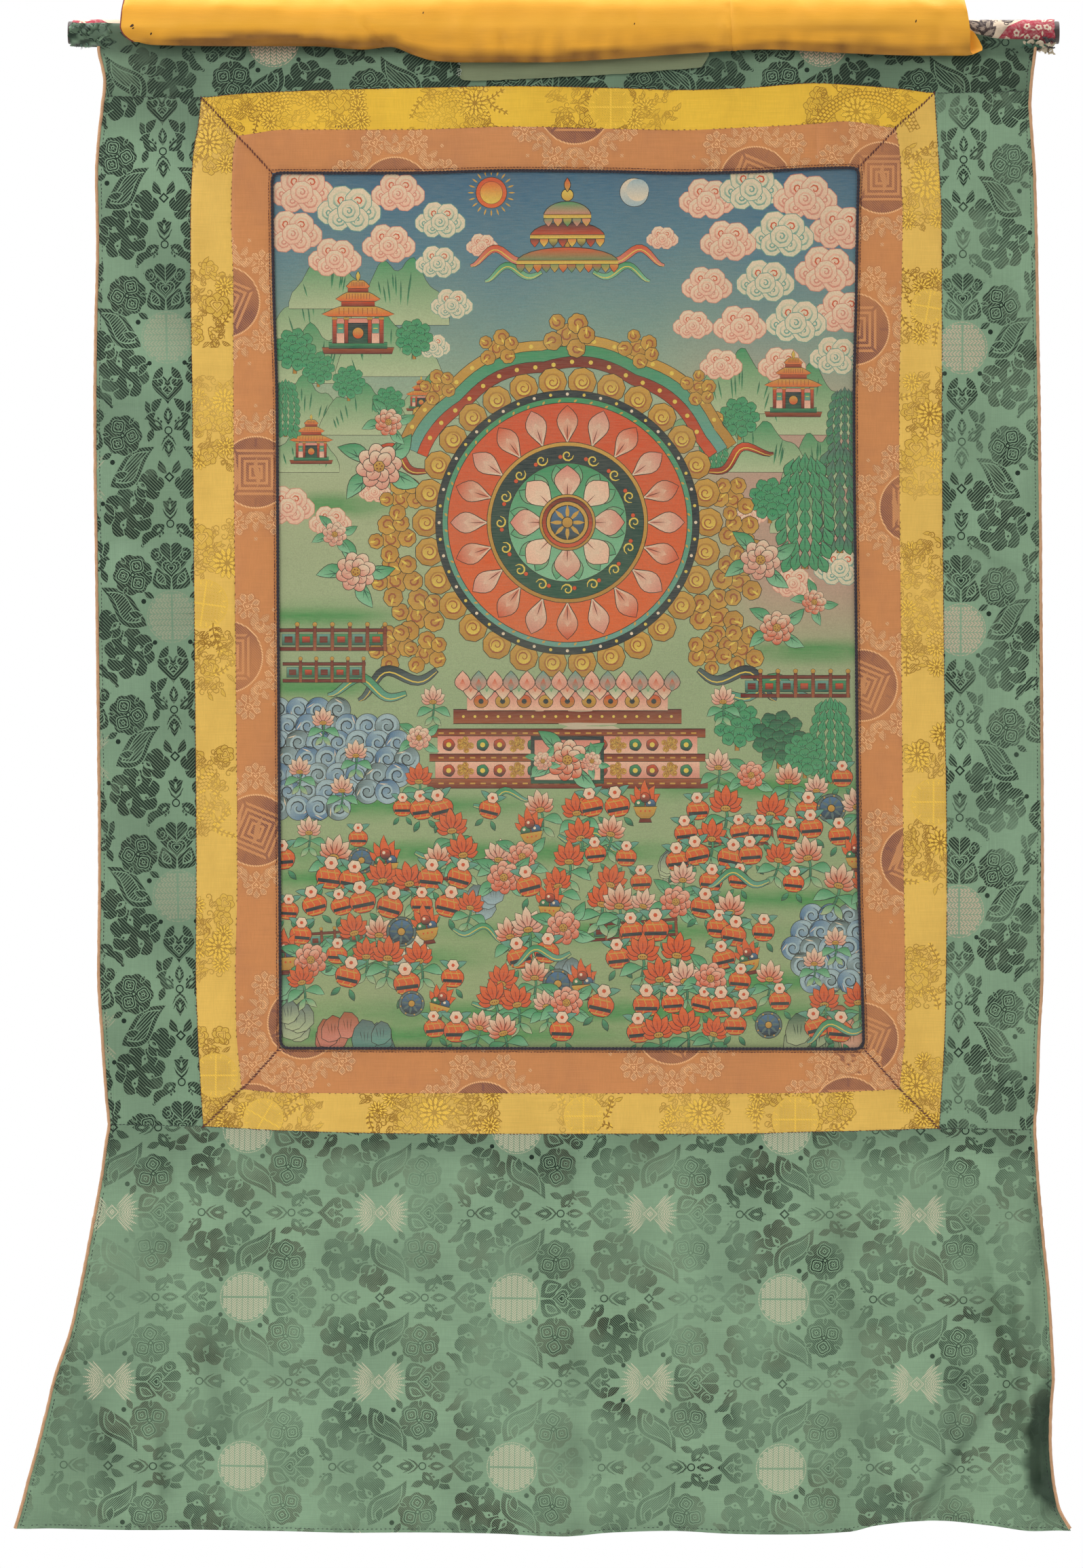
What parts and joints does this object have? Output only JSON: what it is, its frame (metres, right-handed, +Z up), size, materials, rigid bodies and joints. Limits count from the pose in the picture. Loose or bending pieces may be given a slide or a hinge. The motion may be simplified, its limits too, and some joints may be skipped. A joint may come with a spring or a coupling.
{
  "type": "thangka scroll painting on a wooden top rod",
  "caption": "Hanging scroll: a painted cloth panel in mitred silk borders and green brocade, hung from a wooden top rod with a rolled-up satin cover.",
  "frame": {"origin": "middle of the wooden top rod's axis, halfway along it", "axes": "+Z up, +X to the right of somebody who faces the picture, front of the scroll towards -Y"},
  "size_m": [0.9041, 0.0462, 1.3213],
  "materials": {
    "rod_wood": "dark old wood, dull",
    "printed_cotton": "red cotton printed with cream flowers",
    "green_brocade": "figured silk satin with woven silver discs",
    "yellow_silk": "figured silk damask, satin sheen",
    "copper_silk": "figured silk damask, satin sheen",
    "painted_canvas": "mineral colours on primed cotton, matt",
    "navy_cord": "twisted silk cord",
    "tan_piping": "covered piping, matt",
    "pale_silk": "thin plain silk",
    "orange_satin": "plain silk satin, glossy"
  },
  "bodies": {
    "root": {"rod": "rod_wood", "rod_cotton": "printed_cotton", "header": "green_brocade", "side_left": "green_brocade", "side_right": "green_brocade", "bottom_panel": "green_brocade", "yellow_top": "yellow_silk", "yellow_right": "yellow_silk", "yellow_bottom_left": "yellow_silk", "yellow_bottom_right": "yellow_silk", "yellow_left_upper": "yellow_silk", "yellow_left_lower": "yellow_silk", "copper_top_left": "copper_silk", "copper_top_right": "copper_silk", "copper_left": "copper_silk", "copper_right": "copper_silk", "copper_bottom_left": "copper_silk", "copper_bottom_right": "copper_silk", "painting": "painted_canvas", "picture_cord": "navy_cord", "piping_left": "tan_piping", "piping_right": "tan_piping", "silk_strip": "pale_silk", "cover_wide": "orange_satin", "cover_narrow": "orange_satin"}
  },
  "joints": []
}
